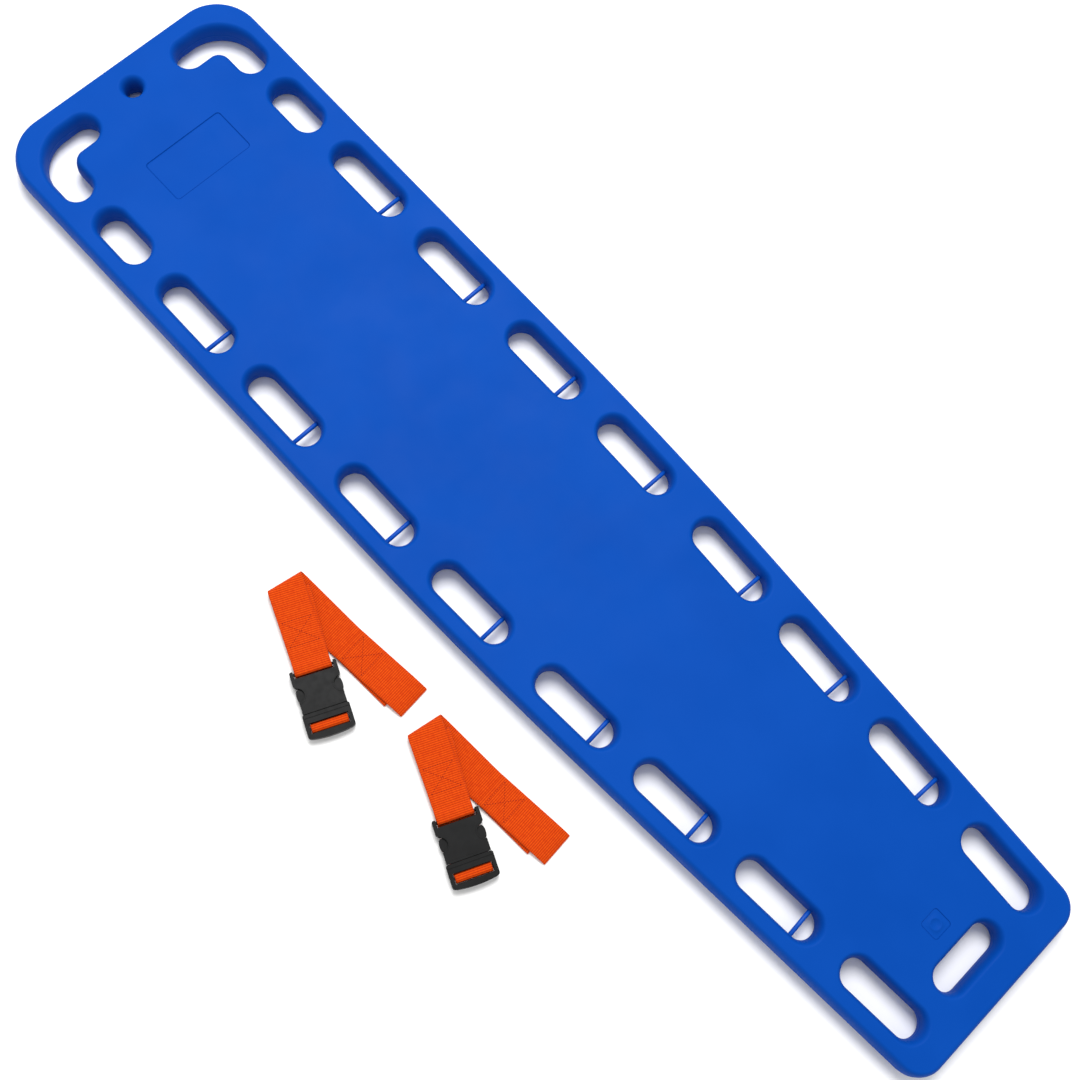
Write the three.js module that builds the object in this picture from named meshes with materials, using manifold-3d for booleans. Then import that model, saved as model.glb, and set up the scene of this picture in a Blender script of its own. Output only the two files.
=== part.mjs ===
// Long spine board with fourteen strap pins and two folded side-release straps.
// Millimetres. +X runs from the head end to the foot end, +Y is the casualty's left,
// +Z is up. The origin is the centre of the board's flat underside.
import * as THREE from 'three';
import { mergeVertices } from 'three/addons/utils/BufferGeometryUtils.js';
import Module from 'manifold-3d';

const wasm = await Module();
wasm.setup();

// ---- driving dimensions: board -------------------------------------------------
const LENGTH = 1830;
const HALF_WIDTH = 215;
const THICKNESS = 45;
const HEAD_RADIUS = 72;          // plan radius of the two head corners
const FOOT_RADIUS = 40;          // plan radius of the two foot corners
const TAPER_START = -150;        // the sides bend inwards between these two stations
const TAPER_END = 300;
const TAPER_SLOPE = 0.057;       // then run straight to the foot at this slope
const EDGE_ROUND = 9;            // how far every rim rounds back, in plan
const WAIST = 5;                 // height of the straight band at mid thickness
const SKIN = 4;                  // moulded wall of the top and bottom faces
const WALL = 11;                 // from an outer edge or a hole's neck to the foam
const GAP = 0.3;                 // clearance between touching pieces

// ---- driving dimensions: holes in the board -------------------------------------
const SLOT_RADIUS = 21.5;
const SLOT_INSET = 52;           // from the side edge to a hand slot's centreline
const PIN_SLOT_LENGTH = 134;
const PIN_SLOT_X = [-528, -342, -147, 43, 245, 429, 615];
const SHORT_SLOT = { x: -688, length: 92 };
const END_SLOT = { x: 800, length: 132 };
const FOOT_SLOT = { x: 845, length: 112, radius: 20 };
const HEAD_HOLE = { x: -865, radius: 12.5 };
const CORNER = { x: -856, y: 163, bend: 42, leg: 22, radius: 21 };
const PIN_OFFSET = 44;           // from a slot's centre towards the foot
const PIN_RADIUS = 3.25;
const PIN_SEAT = 8;              // how far a pin goes into the board at each end
const LABEL_PANEL = { x: -716.5, sizeX: 75, sizeY: 138, radius: 6, depth: 0.6 };
const MARK_PANEL = { x: 784.5, sizeX: 31, sizeY: 33, radius: 5, depth: 0.6 };
const PORT = { x: 430, hole: 12, head: 15, headDepth: 1.6 };

// ---- driving dimensions: straps --------------------------------------------------
// x and y give the middle of each strap's crease.
const STRAPS = [
  { name: 'strap_1', x: -151.8, y: -324.9 },
  { name: 'strap_2', x: 126.6, y: -317.9 },
];
const WEB_WIDTH = 52;
const WEB = 1.5;                 // webbing thickness
const LAYER = WEB + GAP;
const LEFT_LEG_ANGLE = -24.5;    // the leg with the buckle, degrees from +X
const RIGHT_LEG_ANGLE = 4.5;     // the free leg
const LEFT_LEG = 120;            // from the crease to the tips of the buckle's horns
const RIGHT_LEG = 240;           // from the crease to the far end
const FIXED_SHORT = 26;          // the lower end lies this far back,
const FIXED_STRAY = 1.3;         // and strays by this many degrees
const STITCH_START = 85;         // free leg: where the end loops are sewn
const LOOP_STITCH = 46;          // buckle leg: where the bar's loop is sewn
const INNER_FOLD = 18;           // the inner webbing folds this far inside the outer's crease
const LOOP_SLOPE = 16;           // length over which that loop closes
const DIP = 18;                  // length over which the lower webbing drops to the ground

// ---- driving dimensions: buckle, with u along it, v across it, w up ---------------
const BUCKLE = { length: 98, halfWidth: 33, height: 14, floor: 2.2 };
const HORN = { inner: 28.2, end: 20, step: 2 };
const SOCKET = { plate: 10.5, cavity: 16, end: 60.5, half: 27.5, wall: 3 };
const WINDOW = { start: 23, end: 44, reach: 12 };
const BAR = { u: 3.75, w: 6.65, radius: 2.25 };
const TONGUE = { start: 61, window: 74, windowEnd: 88.5, half: 27.5, bow: 3, low: 1, high: 13 };
const ADJUSTER = { start: 79.2, end: 83, low: 3.6, high: 8.6 };
const GUIDE = { tip: 30, half: 6, low: 4, high: 10 };
const ARM = { pivotU: 63, pivotV: 16, knuckle: 2.6, half: 2, low: 3.8, high: 10.2 };
const PAD = { start: 27, end: 43.6, inner: 17, shoulder: 29.6, outer: 32.6 };

const ARC_STEPS = 3;             // plan arcs: six chords to a half circle
const RIM_STEPS = 2;             // facets over each rounded rim
const ROUND_SIDES = 10;
const EXTRA = 1;                 // overrun of a cutting solid

// ---- materials --------------------------------------------------------------------
const plastic = (color, roughness) => new THREE.MeshStandardMaterial({ color, roughness, metalness: 0 });
const boardBlue = plastic(0x1152ba, 0.42);
const pinBlue = plastic(0x0f4aa6, 0.35);
const foamCream = plastic(0xe6dcb8, 0.95);
const webbingOrange = plastic(0xf2500f, 0.85);
const buckleBlack = plastic(0x1d1e1f, 0.45);

// ---- solids -----------------------------------------------------------------------
function solid(geometry) {
  const bare = geometry.index ? geometry.toNonIndexed() : geometry.clone();
  bare.deleteAttribute('normal');
  bare.deleteAttribute('uv');
  const merged = mergeVertices(bare, 1e-4);
  return new wasm.Manifold(new wasm.Mesh({
    numProp: 3,
    vertProperties: Float32Array.from(merged.attributes.position.array),
    triVerts: Uint32Array.from(merged.index.array),
  }));
}

function geometryOf(manifold) {
  const mesh = manifold.getMesh();
  const geometry = new THREE.BufferGeometry();
  geometry.setAttribute('position', new THREE.BufferAttribute(mesh.vertProperties, 3));
  geometry.setIndex(new THREE.BufferAttribute(mesh.triVerts, 1));
  geometry.computeVertexNormals();
  return geometry;
}

function addNode(parent, name, shape, material) {
  const geometry = shape.isBufferGeometry ? shape : geometryOf(shape);
  const mesh = new THREE.Mesh(geometry, material);
  mesh.name = name;
  parent.add(mesh);
  return mesh;
}

// A plan shape raised from one height to another, with straight sides.
function plate(shape, low, high) {
  const geometry = new THREE.ExtrudeGeometry(shape, {
    depth: high - low, bevelEnabled: false, curveSegments: ARC_STEPS,
  });
  return solid(geometry.translate(0, 0, low));
}

function block(x0, x1, y0, y1, z0, z1) {
  const geometry = new THREE.BoxGeometry(x1 - x0, y1 - y0, z1 - z0);
  return solid(geometry.translate((x0 + x1) / 2, (y0 + y1) / 2, (z0 + z1) / 2));
}

// An upright cylinder.
function disc(x, y, radius, low, high, sides = ROUND_SIDES) {
  const geometry = new THREE.CylinderGeometry(radius, radius, high - low, sides);
  return solid(geometry.rotateX(Math.PI / 2).translate(x, y, (low + high) / 2));
}

function polygon(points) {
  return new THREE.Shape(points.map(([x, y]) => new THREE.Vector2(x, y)));
}

// ---- plan curves of the board -------------------------------------------------------
const BEND_DROP = TAPER_SLOPE * (TAPER_END - TAPER_START) / 2;
const TAPER_ANGLE = Math.atan(TAPER_SLOPE);
const QUARTER = Math.PI / 2;

function halfWidthAt(x) {
  if (x <= TAPER_START) return HALF_WIDTH;
  if (x >= TAPER_END) return HALF_WIDTH - BEND_DROP - (x - TAPER_END) * TAPER_SLOPE;
  const t = (x - TAPER_START) / (TAPER_END - TAPER_START);
  return HALF_WIDTH - BEND_DROP * t * t;
}

function sideAngleAt(x) {
  const t = THREE.MathUtils.clamp((x - TAPER_START) / (TAPER_END - TAPER_START), 0, 1);
  return -Math.atan(TAPER_SLOPE * t);
}

// The board's outline, moved inwards by inset.
function outline(inset) {
  const end = LENGTH / 2 - inset;
  const side = HALF_WIDTH - inset;
  const bendY = side - BEND_DROP;
  const bendX = (TAPER_START + TAPER_END) / 2;
  const headX = -LENGTH / 2 + HEAD_RADIUS;
  const headY = HALF_WIDTH - HEAD_RADIUS;
  const headR = HEAD_RADIUS - inset;
  const footX = LENGTH / 2 - FOOT_RADIUS;
  const footR = FOOT_RADIUS - inset;
  const footY = halfWidthAt(footX) - FOOT_RADIUS / Math.cos(TAPER_ANGLE);
  const shape = new THREE.Shape();
  shape.moveTo(end, -footY);
  shape.absarc(footX, footY, footR, 0, QUARTER - TAPER_ANGLE);
  shape.lineTo(TAPER_END, bendY);
  shape.quadraticCurveTo(bendX, side, TAPER_START, side);
  shape.absarc(headX, headY, headR, QUARTER, Math.PI);
  shape.absarc(headX, -headY, headR, Math.PI, 3 * QUARTER);
  shape.lineTo(TAPER_START, -side);
  shape.quadraticCurveTo(bendX, -side, TAPER_END, -bendY);
  shape.absarc(footX, -footY, footR, TAPER_ANGLE - QUARTER, 0);
  return shape;
}

// A slot with round ends, grown outwards on every side by grow.
function slotPath(x, y, angle, length, radius, grow) {
  const half = length / 2 - radius;
  const dx = Math.cos(angle) * half;
  const dy = Math.sin(angle) * half;
  const path = new THREE.Path();
  path.absarc(x + dx, y + dy, radius + grow, angle - QUARTER, angle + QUARTER);
  path.absarc(x - dx, y - dy, radius + grow, angle + QUARTER, angle + 3 * QUARTER);
  return path;
}

// The L-shaped hand hole in a head corner, with side 1 or -1.
function cornerPath(side, grow) {
  const r = CORNER.radius + grow;
  const bendX = CORNER.x + CORNER.bend;
  const bendY = CORNER.y - CORNER.bend;
  const path = new THREE.Path();
  const arc = (x, y, radius, from, to, clockwise) =>
    path.absarc(x, side * y, radius, side * from, side * to, side > 0 ? clockwise : !clockwise);
  arc(CORNER.x, bendY - CORNER.leg, r, Math.PI, 2 * Math.PI, false);
  arc(bendX, bendY, CORNER.bend - r, Math.PI, QUARTER, true);
  arc(bendX + CORNER.leg, CORNER.y, r, -QUARTER, QUARTER, false);
  arc(bendX, bendY, CORNER.bend + r, QUARTER, Math.PI, false);
  return path;
}

function handSlots() {
  const slots = [{ ...SHORT_SLOT }, ...PIN_SLOT_X.map((x) => ({ x, length: PIN_SLOT_LENGTH })), { ...END_SLOT }];
  return slots.flatMap(({ x, length }) => [1, -1].map((side) => ({
    x, length, y: side * (halfWidthAt(x) - SLOT_INSET), angle: side * sideAngleAt(x),
  })));
}

function holePaths(grow) {
  return [
    ...handSlots().map((s) => slotPath(s.x, s.y, s.angle, s.length, SLOT_RADIUS, grow)),
    slotPath(FOOT_SLOT.x, 0, QUARTER, FOOT_SLOT.length, FOOT_SLOT.radius, grow),
    slotPath(HEAD_HOLE.x, 0, 0, 2 * HEAD_HOLE.radius, HEAD_HOLE.radius, grow),
    cornerPath(1, grow),
    cornerPath(-1, grow),
  ];
}

function boardPlan(inset, grow) {
  const shape = outline(inset);
  shape.holes.push(...holePaths(grow));
  return shape;
}

// ---- board pieces --------------------------------------------------------------------
function panelRecess({ x, sizeX, sizeY, radius, depth }) {
  const hx = sizeX / 2 - radius;
  const hy = sizeY / 2 - radius;
  const shape = new THREE.Shape();
  shape.absarc(x + hx, hy, radius, 0, QUARTER);
  shape.absarc(x - hx, hy, radius, QUARTER, Math.PI);
  shape.absarc(x - hx, -hy, radius, Math.PI, 3 * QUARTER);
  shape.absarc(x + hx, -hy, radius, 3 * QUARTER, 4 * QUARTER);
  return plate(shape, THICKNESS - depth, THICKNESS + EXTRA);
}

// A pin lies across its slot at mid thickness; the same rod, a little fatter and longer, is its seat.
function crossRod({ x, y, angle }, radius, halfLength) {
  const rod = new THREE.CylinderGeometry(radius, radius, 2 * halfLength, 8);
  const px = x + Math.cos(angle) * PIN_OFFSET;
  const py = y + Math.sin(angle) * PIN_OFFSET;
  return rod.rotateZ(angle).translate(px, py, THICKNESS / 2);
}

function pinSlots() {
  return handSlots().filter((slot) => slot.length === PIN_SLOT_LENGTH);
}

function shell() {
  const rim = (THICKNESS - WAIST) / 2;
  const outer = solid(new THREE.ExtrudeGeometry(boardPlan(0, 0), {
    depth: WAIST,
    bevelThickness: rim,
    bevelSize: EDGE_ROUND,
    bevelOffset: -EDGE_ROUND,
    bevelSegments: RIM_STEPS,
    curveSegments: ARC_STEPS,
  }).translate(0, 0, rim));
  const hollow = plate(boardPlan(WALL, WALL), SKIN, THICKNESS - SKIN);
  const seats = pinSlots().map((slot) =>
    solid(crossRod(slot, PIN_RADIUS + GAP, SLOT_RADIUS + PIN_SEAT + GAP)));
  const ports = [PORT.x, -PORT.x].flatMap((x) => [
    disc(x, 0, PORT.hole, -EXTRA, SKIN + EXTRA),
    disc(x, 0, PORT.head, -EXTRA, PORT.headDepth),
  ]);
  const cuts = [hollow, ...seats, ...ports, panelRecess(LABEL_PANEL), panelRecess(MARK_PANEL)];
  return cuts.reduce((body, cut) => body.subtract(cut), outer);
}

function foamCore() {
  const inset = WALL + GAP;
  return plate(boardPlan(inset, inset), SKIN + GAP, THICKNESS - SKIN - GAP);
}

function portPlug(x) {
  const head = disc(x, 0, PORT.head - GAP, GAP, PORT.headDepth - GAP);
  const neck = disc(x, 0, PORT.hole - GAP, PORT.headDepth - GAP - EXTRA / 2, SKIN);
  return head.add(neck);
}

// ---- webbing ---------------------------------------------------------------------------
// Undersides of the layers, counted upwards from the ground.
const FIXED_UNDER = GAP;                          // free leg, lowest layer
const FIXED_LOWER = FIXED_UNDER + LAYER;
const ADJUST_LOWER = FIXED_LOWER + LAYER;
const ADJUST_OVER = ADJUST_LOWER + LAYER;         // top of the free leg
const ADJUST_UPPER = ADJUST_OVER + LAYER + GAP;   // buckle leg, lowest layer
const FIXED_RETURN = ADJUST_UPPER + LAYER;
const FIXED_UPPER = FIXED_RETURN + LAYER;         // top of the buckle leg

const radians = THREE.MathUtils.degToRad;
const CREASE_ANGLE = radians((180 + LEFT_LEG_ANGLE + RIGHT_LEG_ANGLE) / 2);
const BEHIND = -WEB_WIDTH;        // legs are drawn from well behind the crease, then cut at it
const middle = (underside) => underside + WEB / 2;

// Points round part of a circle, angles in degrees, for a strip that turns.
function turn(x, z, radius, from, to, steps) {
  return Array.from({ length: steps + 1 }, (_, i) => {
    const a = radians(from + (to - from) * i / steps);
    return [x + radius * Math.cos(a), z + radius * Math.sin(a)];
  });
}

// The closed side profile of a strip of webbing that follows a centreline.
function ribbon(centreline) {
  const line = centreline.map(([x, z]) => new THREE.Vector2(x, z));
  const normals = line.slice(1).map((p, i) => {
    const along = p.clone().sub(line[i]).normalize();
    return new THREE.Vector2(-along.y, along.x);
  });
  const edge = (side) => line.map((p, i) => {
    const before = normals[Math.max(i - 1, 0)];
    const after = normals[Math.min(i, normals.length - 1)];
    const mitre = before.clone().add(after).normalize();
    return p.clone().addScaledVector(mitre, side * WEB / 2 / mitre.dot(after));
  });
  return new THREE.Shape([...edge(-1), ...edge(1).reverse()]);
}

// A strip as wide as the webbing, whose profile runs outwards at an angle, cut off along its fold.
function leg(centreline, angle, fold) {
  const geometry = new THREE.ExtrudeGeometry(ribbon(centreline), {
    depth: WEB_WIDTH, bevelEnabled: false,
  });
  geometry.rotateX(QUARTER).translate(0, WEB_WIDTH / 2, 0).rotateZ(radians(angle));
  const reach = 3 * RIGHT_LEG;
  const ahead = solid(new THREE.BoxGeometry(reach, reach, reach)
    .translate(fold + reach / 2, 0, 0)
    .rotateZ(CREASE_ANGLE - QUARTER));
  return solid(geometry).intersect(ahead);
}

// The half turn of webbing at a fold, between two layers.
function foldRoll(lowest, uppermost, fold) {
  const inner = (uppermost - lowest - WEB) / 2;
  const outer = inner + WEB;
  const shape = new THREE.Shape();
  shape.moveTo(GAP, outer);
  shape.absarc(0, 0, outer, QUARTER, 3 * QUARTER);
  shape.lineTo(GAP, -outer);
  shape.lineTo(GAP, -inner);
  shape.absarc(0, 0, inner, 3 * QUARTER, QUARTER, true);
  shape.lineTo(GAP, inner);
  const width = WEB_WIDTH / Math.cos(radians((RIGHT_LEG_ANGLE - LEFT_LEG_ANGLE) / 2));
  const geometry = new THREE.ExtrudeGeometry(shape, {
    depth: width, bevelEnabled: false, curveSegments: ARC_STEPS,
  });
  geometry.rotateX(QUARTER).translate(fold, width / 2, lowest + outer).rotateZ(CREASE_ANGLE - QUARTER);
  return solid(geometry);
}

// A free leg's end is folded back on itself into a sewn loop.
function endLoop(first, back, end) {
  const radius = LAYER / 2;
  const side = Math.sign(back - first);
  return [
    [BEHIND, middle(first)],
    ...turn(end - radius, middle((first + back) / 2), radius, -90 * side, 90 * side, 4),
    [STITCH_START, middle(back)],
  ];
}

// Sewn to the buckle's socket: round its bar, up to the crease, over it and out along the free leg.
function fixedWebbing() {
  const barU = LEFT_LEG + BAR.u;
  const barZ = BUCKLE.floor + BAR.w;
  const wrap = BAR.radius + GAP + WEB / 2;
  const buckleLeg = [
    [BEHIND, middle(FIXED_UPPER)],
    ...turn(barU, barZ, wrap, 90, -108, 8),
    [barU - LOOP_SLOPE, middle(FIXED_RETURN)],
    [LOOP_STITCH, middle(FIXED_RETURN)],
  ];
  const freeLeg = endLoop(FIXED_LOWER, FIXED_UNDER, RIGHT_LEG - FIXED_SHORT);
  return leg(buckleLeg, LEFT_LEG_ANGLE, 0)
    .add(leg(freeLeg, RIGHT_LEG_ANGLE - FIXED_STRAY, 0))
    .add(foldRoll(FIXED_LOWER, FIXED_UPPER, 0));
}

// Threaded through the buckle's tongue: round its adjuster bar, back under the buckle, over the
// crease inside the other half, and out along the free leg.
function adjustableWebbing() {
  const off = GAP + WEB / 2;
  const start = LEFT_LEG + ADJUSTER.start - off;
  const end = LEFT_LEG + ADJUSTER.end + off;
  const top = BUCKLE.floor + ADJUSTER.high + off;
  const buckleLeg = [
    [BEHIND, middle(ADJUST_UPPER)],
    [LEFT_LEG - DIP, middle(ADJUST_UPPER)],
    [LEFT_LEG, middle(GAP)],
    [end, middle(GAP)],
    [end, top],
    [start, top],
    [start, BUCKLE.floor + ADJUSTER.low],
  ];
  return leg(buckleLeg, LEFT_LEG_ANGLE, INNER_FOLD)
    .add(leg(endLoop(ADJUST_LOWER, ADJUST_OVER, RIGHT_LEG), RIGHT_LEG_ANGLE, INNER_FOLD))
    .add(foldRoll(ADJUST_LOWER, ADJUST_UPPER, INNER_FOLD));
}

// ---- buckle ------------------------------------------------------------------------------
function buckleSocket() {
  const { halfWidth, height } = BUCKLE;
  const side = halfWidth - HORN.step;
  const half = (s) => [
    [0, s * HORN.inner], [0, s * (halfWidth - 1)], [1, s * halfWidth], [HORN.end, s * halfWidth],
    [HORN.end + HORN.step, s * side], [SOCKET.end, s * side],
  ];
  const plan = polygon([
    [SOCKET.plate, -HORN.inner], ...half(-1), ...half(1).reverse(), [SOCKET.plate, HORN.inner],
  ]);
  const cavityTop = height - SOCKET.wall;
  const cavity = block(SOCKET.cavity, SOCKET.end + EXTRA, -SOCKET.half, SOCKET.half, SOCKET.wall, cavityTop);
  const windows = [1, -1].flatMap((s) => {
    const oval = new THREE.Shape();
    oval.absellipse((WINDOW.start + WINDOW.end) / 2, s * halfWidth,
      (WINDOW.end - WINDOW.start) / 2, WINDOW.reach, 0, 2 * Math.PI, false, 0);
    const sides = [s * (SOCKET.half - EXTRA), s * (halfWidth + EXTRA)].sort((a, b) => a - b);
    return [
      plate(oval, -EXTRA, height + EXTRA),
      block(WINDOW.start, WINDOW.end, ...sides, SOCKET.wall, cavityTop),
    ];
  });
  const rod = new THREE.CylinderGeometry(BAR.radius, BAR.radius, 2 * HORN.inner + EXTRA, 8);
  const bar = solid(rod.translate(BAR.u, 0, BAR.w));
  return [cavity, ...windows].reduce((body, cut) => body.subtract(cut), plate(plan, 0, height)).add(bar);
}

function buckleTongue() {
  const { halfWidth, length } = BUCKLE;
  const corner = length - TONGUE.bow;
  const plan = new THREE.Shape();
  plan.moveTo(TONGUE.start, -halfWidth + HORN.step);
  plan.lineTo(TONGUE.start + HORN.step, -halfWidth);
  plan.lineTo(corner - 1, -halfWidth);
  plan.lineTo(corner, -halfWidth + 1);
  plan.quadraticCurveTo(length + TONGUE.bow, 0, corner, halfWidth - 1);
  plan.lineTo(corner - 1, halfWidth);
  plan.lineTo(TONGUE.start + HORN.step, halfWidth);
  plan.lineTo(TONGUE.start, halfWidth - HORN.step);
  const base = plate(plan, TONGUE.low, TONGUE.high);
  const window = block(TONGUE.window, TONGUE.windowEnd, -TONGUE.half, TONGUE.half, 0, BUCKLE.height);
  const bar = block(ADJUSTER.start, ADJUSTER.end, -TONGUE.half - EXTRA, TONGUE.half + EXTRA,
    ADJUSTER.low, ADJUSTER.high);
  const guide = block(GUIDE.tip, TONGUE.start + EXTRA, -GUIDE.half, GUIDE.half, GUIDE.low, GUIDE.high);
  const room = ARM.knuckle + GAP;
  const sockets = [1, -1].flatMap((s) => [
    disc(ARM.pivotU, s * ARM.pivotV, room, ARM.low - GAP, ARM.high + GAP),
    block(TONGUE.start - EXTRA, ARM.pivotU, s * ARM.pivotV - room, s * ARM.pivotV + room,
      ARM.low - GAP, ARM.high + GAP),
  ]);
  return sockets.reduce((body, cut) => body.subtract(cut), base.subtract(window)).add(bar).add(guide);
}

// One latch arm: a knuckle in the tongue, a springy bar and the pad that is squeezed, side 1 or -1.
function latchArm(s) {
  const inner = ARM.pivotV - ARM.half;
  const outer = ARM.pivotV + ARM.half;
  const plan = [
    [ARM.pivotU, inner], [ARM.pivotU, outer], [PAD.end, outer], [PAD.end, PAD.shoulder],
    [PAD.end - 4, PAD.outer - 1], [(PAD.start + PAD.end) / 2, PAD.outer], [PAD.start + 4, PAD.outer - 1],
    [PAD.start, PAD.shoulder], [PAD.start, PAD.inner + 2], [PAD.start + 2, PAD.inner], [PAD.end, inner],
  ];
  const shape = polygon(plan.map(([u, v]) => [u, s * v]));
  return plate(shape, ARM.low, ARM.high)
    .add(disc(ARM.pivotU, s * ARM.pivotV, ARM.knuckle, ARM.low, ARM.high));
}

// ---- assembly ----------------------------------------------------------------------------
function addBoard(parent) {
  addNode(parent, 'board_shell', shell(), boardBlue);
  addNode(parent, 'foam_core', foamCore(), foamCream);
  addNode(parent, 'port_plug_foot', portPlug(PORT.x), boardBlue);
  addNode(parent, 'port_plug_head', portPlug(-PORT.x), boardBlue);
  pinSlots().forEach((slot, i) => {
    const sideName = slot.y > 0 ? 'left' : 'right';
    const geometry = crossRod(slot, PIN_RADIUS, SLOT_RADIUS + PIN_SEAT);
    addNode(parent, `pin_${sideName}_${Math.floor(i / 2) + 1}`, geometry, pinBlue);
  });
}

function addStrap(parent, { name, x, y }) {
  const strap = new THREE.Group();
  strap.position.set(x, y, 0);
  addNode(strap, `${name}_fixed_webbing`, fixedWebbing(), webbingOrange);
  addNode(strap, `${name}_adjustable_webbing`, adjustableWebbing(), webbingOrange);
  const turned = new THREE.Group();
  turned.rotation.z = radians(LEFT_LEG_ANGLE);
  const buckle = new THREE.Group();
  buckle.position.set(LEFT_LEG, 0, BUCKLE.floor);
  addNode(buckle, `${name}_buckle_socket`, buckleSocket(), buckleBlack);
  addNode(buckle, `${name}_buckle_tongue`, buckleTongue(), buckleBlack);
  addNode(buckle, `${name}_latch_arm_left`, latchArm(1), buckleBlack);
  addNode(buckle, `${name}_latch_arm_right`, latchArm(-1), buckleBlack);
  turned.add(buckle);
  strap.add(turned);
  parent.add(strap);
}

const spineBoard = new THREE.Group();
addBoard(spineBoard);
STRAPS.forEach((strap) => addStrap(spineBoard, strap));

export default spineBoard;
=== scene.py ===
"""A spine board on a pale studio floor, with two folded side-release straps beside it.

Dimensions are in millimetres in the part's own frame: +X from the head end to the foot end,
+Y to the casualty's left, +Z up, with the origin at the centre of the flat underside.
Meshes are scaled to metres as they are made.
"""
import math

import bmesh
import bpy
import numpy as np
from mathutils import Matrix, Vector
from mathutils.geometry import delaunay_2d_cdt


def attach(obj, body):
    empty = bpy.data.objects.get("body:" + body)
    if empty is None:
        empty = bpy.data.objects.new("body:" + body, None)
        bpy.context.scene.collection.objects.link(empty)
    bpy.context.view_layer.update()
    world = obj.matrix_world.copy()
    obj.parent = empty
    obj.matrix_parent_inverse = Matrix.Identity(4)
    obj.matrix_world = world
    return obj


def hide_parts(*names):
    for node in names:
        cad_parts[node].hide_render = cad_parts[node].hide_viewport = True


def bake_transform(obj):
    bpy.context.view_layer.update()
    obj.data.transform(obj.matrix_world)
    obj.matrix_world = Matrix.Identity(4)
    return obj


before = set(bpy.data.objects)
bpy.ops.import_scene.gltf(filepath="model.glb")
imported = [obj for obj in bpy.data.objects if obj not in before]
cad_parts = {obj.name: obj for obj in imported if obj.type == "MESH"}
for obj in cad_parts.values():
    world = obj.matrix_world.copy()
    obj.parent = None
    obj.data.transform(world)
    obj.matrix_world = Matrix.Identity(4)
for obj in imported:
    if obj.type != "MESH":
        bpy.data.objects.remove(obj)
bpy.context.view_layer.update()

MM = 0.001
QUARTER = math.pi / 2
GAP = 0.3  # clearance between touching pieces
OVERCUT = 1  # overrun of a cutting solid
CREASE = math.radians(50)  # edges steeper than this stay crisp

# ---- board ----
LENGTH = 1830
HALF_WIDTH = 215
THICKNESS = 45
HEAD_RADIUS = 72  # plan radius of the two head corners
FOOT_RADIUS = 40  # plan radius of the two foot corners
TAPER_START = -150  # the sides bend inwards between these two stations
TAPER_END = 300
TAPER_SLOPE = 0.057  # then run straight to the foot at this slope
EDGE_ROUND = 9  # how far every rim rounds back, in plan
WAIST = 5  # straight band at mid thickness
SKIN = 4  # wall of the top and bottom faces
WALL = 11  # from an outer edge or a hole's neck to the foam
PART_LINE = {"proud": 0.3, "half": 0.35, "foot": 0.9}

SLOT_RADIUS = 21.5
SLOT_INSET = 52  # from the side edge to a hand slot's centreline
PIN_SLOT_LENGTH = 134
PIN_SLOT_X = (-528, -342, -147, 43, 245, 429, 615)
SHORT_SLOT = {"x": -688, "length": 92}
END_SLOT = {"x": 800, "length": 132}
FOOT_SLOT = {"x": 845, "length": 112, "radius": 20}
HEAD_HOLE = {"x": -865, "radius": 12.5}
CORNER = {"x": -856, "y": 163, "bend": 42, "leg": 22, "radius": 21}
PIN_OFFSET = 44  # from a slot's centre towards the foot
PIN_RADIUS = 3.25
PIN_SEAT = 8  # how far a pin goes into the board at each end
PIN_CHAMFER = 0.6
PIN_SIDES = 32
LABEL_PANEL = {"x": -716.5, "size_x": 75, "size_y": 138, "radius": 6, "depth": 0.9, "slope": 1.0}
MARK_PANEL = {"x": 784.5, "size_x": 31, "size_y": 33, "radius": 5, "depth": 0.7, "slope": 0.8}
MARK_RING = {"outer": 9.5, "inner": 6.5, "height": 0.6, "slope": 0.7}
PORT = {"x": 430, "hole": 12, "head": 15, "head_depth": 1.6}
PLUG = {"dish": ((3.5, 0.9), (7.5, 0.8), (9, 0.35)), "face": 0.3, "rim": 0.6, "chamfer": 0.5}

RIM_STEPS = 10  # facets over each rounded rim
ARC_STEPS = 18  # facets in a quarter of an outer corner
SLOT_STEPS = 24  # facets in a slot's round end
SIDE_STEPS = 36  # facets along the bend of a long side
FLAT_MARGIN = 1.2  # flat strip kept round each face, so that it shades flat
# A panel's section from the face to its floor, as (inset, depth) in its own slope and depth.
PANEL_SECTION = (
    (-FLAT_MARGIN, 0), (0, 0), (0.3, 0.5), (0.7, 1.7),
    (1.1, 1.7), (1.5, 1.1), (1.8, 1), (1.8 + FLAT_MARGIN, 1),
)

# ---- straps: each lies folded on a slanted crease, with two legs leaving it ----
STRAPS = {"strap_1": (-151.8, -324.9), "strap_2": (126.6, -317.9)}  # middle of the crease
WEB_HALF = 26
WEB = 1.5  # webbing thickness
LAYER = WEB + GAP
LEFT_LEG_ANGLE = math.radians(-24.5)  # the leg with the buckle
RIGHT_LEG_ANGLE = math.radians(4.5)  # the free leg
LEFT_LEG = 120  # from the crease to the tips of the buckle's horns
RIGHT_LEG = 240  # from the crease to the far end
FIXED_SHORT = 26  # the fixed half's end lies this far back
FOLD_ANGLE = (RIGHT_LEG_ANGLE - LEFT_LEG_ANGLE) / 2  # either leg's angle from the way out
WAY_OUT = (RIGHT_LEG_ANGLE + LEFT_LEG_ANGLE) / 2  # square to the crease
INNER_FOLD = 18  # the adjustable webbing folds this far inside the outer crease
GROUND_LAYER = GAP + WEB / 2  # mid height of a layer that lies on the ground
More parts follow.
